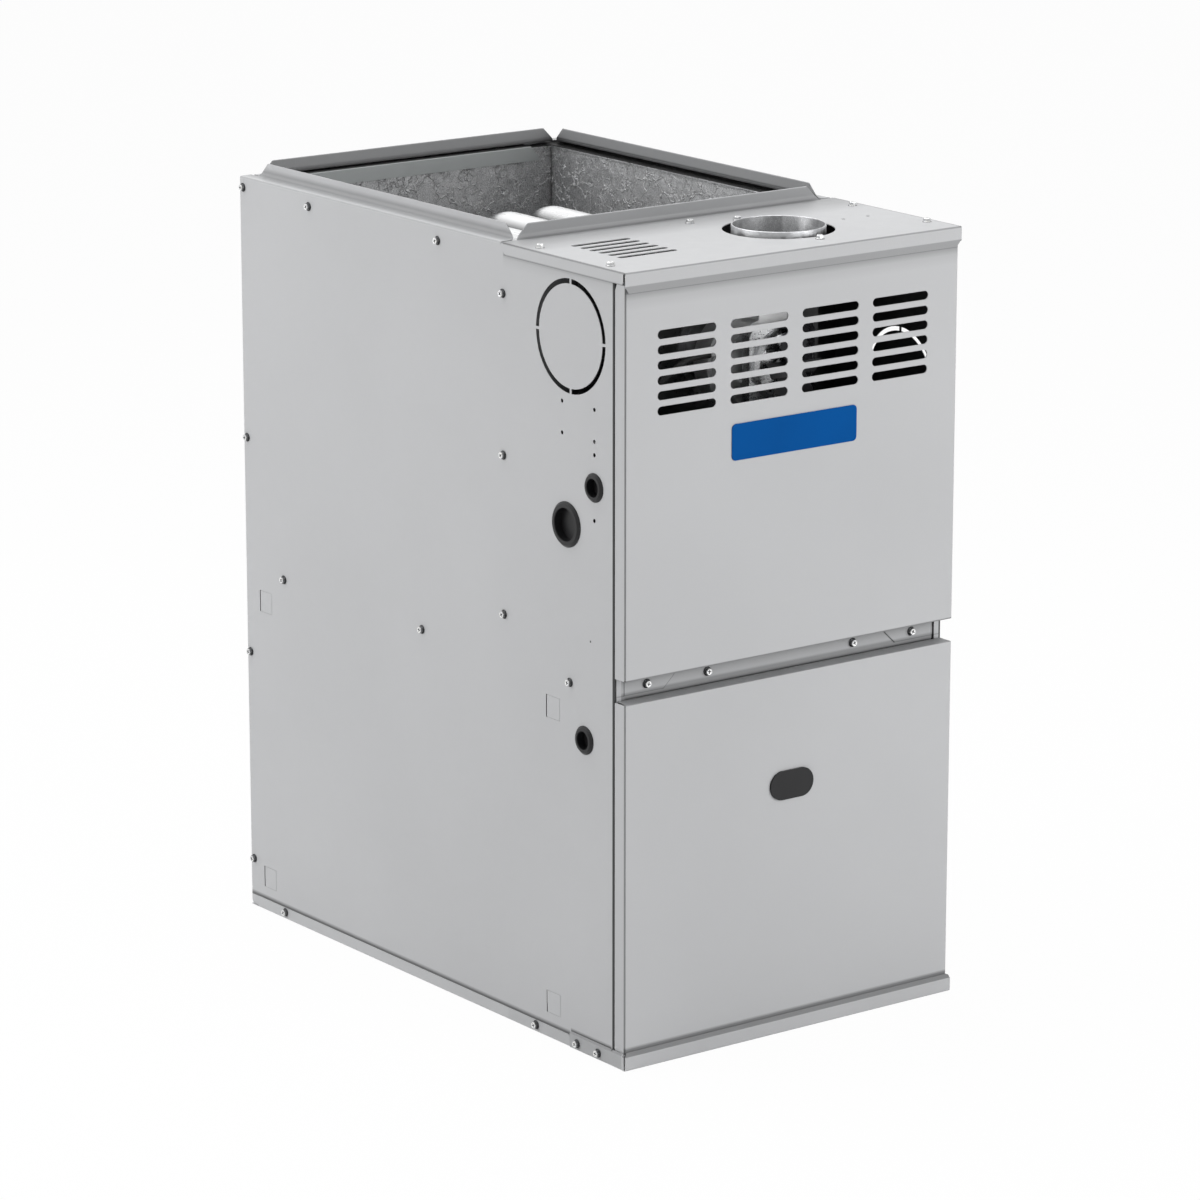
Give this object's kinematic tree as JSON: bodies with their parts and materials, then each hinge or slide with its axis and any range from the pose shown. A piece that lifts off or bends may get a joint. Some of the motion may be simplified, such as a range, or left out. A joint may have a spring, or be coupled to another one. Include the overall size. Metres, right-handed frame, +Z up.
{
  "type": "forced air gas furnace",
  "caption": "Upflow forced-air gas furnace: grey folded-steel cabinet, louvred upper door, duct flanges and vent collar on top, tubular heat exchanger, burners, inducer and blower inside.",
  "frame": {"origin": "Middle of the footprint, on the plane the base stands on.", "axes": "+Z up, -Y out of the doors, +X to the right of someone facing the doors."},
  "size_m": [0.4578, 0.7244, 0.872],
  "materials": {
    "casing_paint": "semi-gloss grey powder paint on folded sheet steel",
    "door_paint": "semi-gloss grey powder paint on folded sheet steel",
    "galvanised": "galvanised sheet with a faint spangle",
    "aluminised": "bright aluminised steel",
    "foil_insulation": "glass wool faced with crinkled foil",
    "badge_blue": "glossy blue, bare, with no words",
    "black_plastic": "black moulded plastic",
    "zinc_plate": "bright zinc plating",
    "motor_steel": "plated steel bells round dark laminations",
    "shaft_steel": "ground steel",
    "wheel_steel": "galvanised strip steel",
    "dark_plastic": "dark moulded plastic",
    "black_rubber": "soft black rubber",
    "burner_steel": "aluminised steel",
    "black_pipe": "black steel pipe",
    "orifice_brass": "machined brass",
    "valve_casting": "die-cast aluminium",
    "red_plastic": "red moulded plastic",
    "ceramic": "white ceramic",
    "board_green": "green solder mask with dark components",
    "transformer_iron": "varnished laminations round a taped coil",
    "white_plastic": "white moulded plastic",
    "motor_shell": "dark enamelled motor shell",
    "bracket_steel": "plated strip steel",
    "capacitor_can": "drawn aluminium can"
  },
  "bodies": {
    "furnace": {"left_side_panel": "casing_paint", "right_side_panel": "casing_paint", "back_panel": "casing_paint", "top_panel": "casing_paint", "rear_plenum_strip": "galvanised", "base_pan": "casing_paint", "front_sill": "casing_paint", "blower_deck": "galvanised", "door_rail": "casing_paint", "rail_brackets": "casing_paint", "vestibule_panel": "galvanised", "foil_liners": "foil_insulation", "hole_plugs": "black_plastic", "gas_grommet": "black_plastic", "cabinet_screws": "zinc_plate", "heat_tube_1": "aluminised", "heat_tube_2": "aluminised", "heat_tube_3": "aluminised", "heat_tube_4": "aluminised", "flue_collector": "aluminised", "inducer_housing": "galvanised", "inducer_motor": "motor_steel", "vent_collar": "galvanised", "pressure_switch": "dark_plastic", "pressure_hose": "black_rubber", "burner_box": "galvanised", "burner_1": "burner_steel", "burner_2": "burner_steel", "burner_3": "burner_steel", "burner_4": "burner_steel", "gas_manifold": "black_pipe", "gas_orifices": "orifice_brass", "gas_valve": "valve_casting", "igniter": "ceramic", "flame_sensor": "ceramic", "limit_switches": "dark_plastic", "junction_box": "galvanised", "control_panel": "galvanised", "control_board": "board_green", "transformer": "transformer_iron", "wire_harness": "black_rubber", "door_switch": "white_plastic", "blower_housing": "galvanised", "blower_side_sheets": "galvanised", "blower_motor": "motor_shell", "motor_mount": "bracket_steel", "run_capacitor": "capacitor_can"},
    "upper_door": {"upper_door": "door_paint", "badge_plate": "badge_blue"},
    "lower_door": {"lower_door": "door_paint", "sight_plug": "black_plastic"},
    "inducer_rotor": {"inducer_shaft": "shaft_steel", "inducer_wheel": "wheel_steel", "inducer_cooling_fan": "dark_plastic"},
    "blower_rotor": {"blower_wheel": "wheel_steel", "blower_shaft": "shaft_steel"},
    "valve_switch": {"valve_switch": "red_plastic"},
    "rollout_button_left": {"rollout_button_left": "red_plastic"},
    "rollout_button_right": {"rollout_button_right": "red_plastic"},
    "switch_plunger": {"switch_plunger": "white_plastic"}
  },
  "joints": [
    {"name": "upper_door_tilt", "type": "hinge", "parent": "furnace", "child": "upper_door", "pos_m": [0, -0.35795, 0.834], "axis": [-1, 0, 0], "range_deg": [0, 20]},
    {"name": "lower_door_tilt", "type": "hinge", "parent": "furnace", "child": "lower_door", "pos_m": [0, -0.35795, 0.0199], "axis": [1, 0, 0], "range_deg": [0, 20]},
    {"name": "inducer_spin", "type": "hinge", "parent": "furnace", "child": "inducer_rotor", "pos_m": [0.021, -0.2578, 0.722], "axis": [0, 1, 0], "continuous": true},
    {"name": "blower_spin", "type": "hinge", "parent": "furnace", "child": "blower_rotor", "pos_m": [0, 0.0622, 0.205], "axis": [1, 0, 0], "continuous": true},
    {"name": "valve_switch_turn", "type": "hinge", "parent": "furnace", "child": "valve_switch", "pos_m": [0.082, -0.2844, 0.585], "axis": [0, 0, 1], "range_deg": [0, 22]},
    {"name": "rollout_press_left", "type": "slide", "parent": "furnace", "child": "rollout_button_left", "axis": [0, 0, -1], "range_m": [0, 0.0015], "stiffness_N_per_m": 400},
    {"name": "rollout_press_right", "type": "slide", "parent": "furnace", "child": "rollout_button_right", "axis": [0, 0, -1], "range_m": [0, 0.0015], "stiffness_N_per_m": 400},
    {"name": "plunger_slide", "type": "slide", "parent": "furnace", "child": "switch_plunger", "axis": [0, -1, 0], "range_m": [0, 0.0041]}
  ],
  "couplings": [
    {"joint": "plunger_slide", "follows": "lower_door_tilt", "m_per_rad": 0.01146}
  ]
}
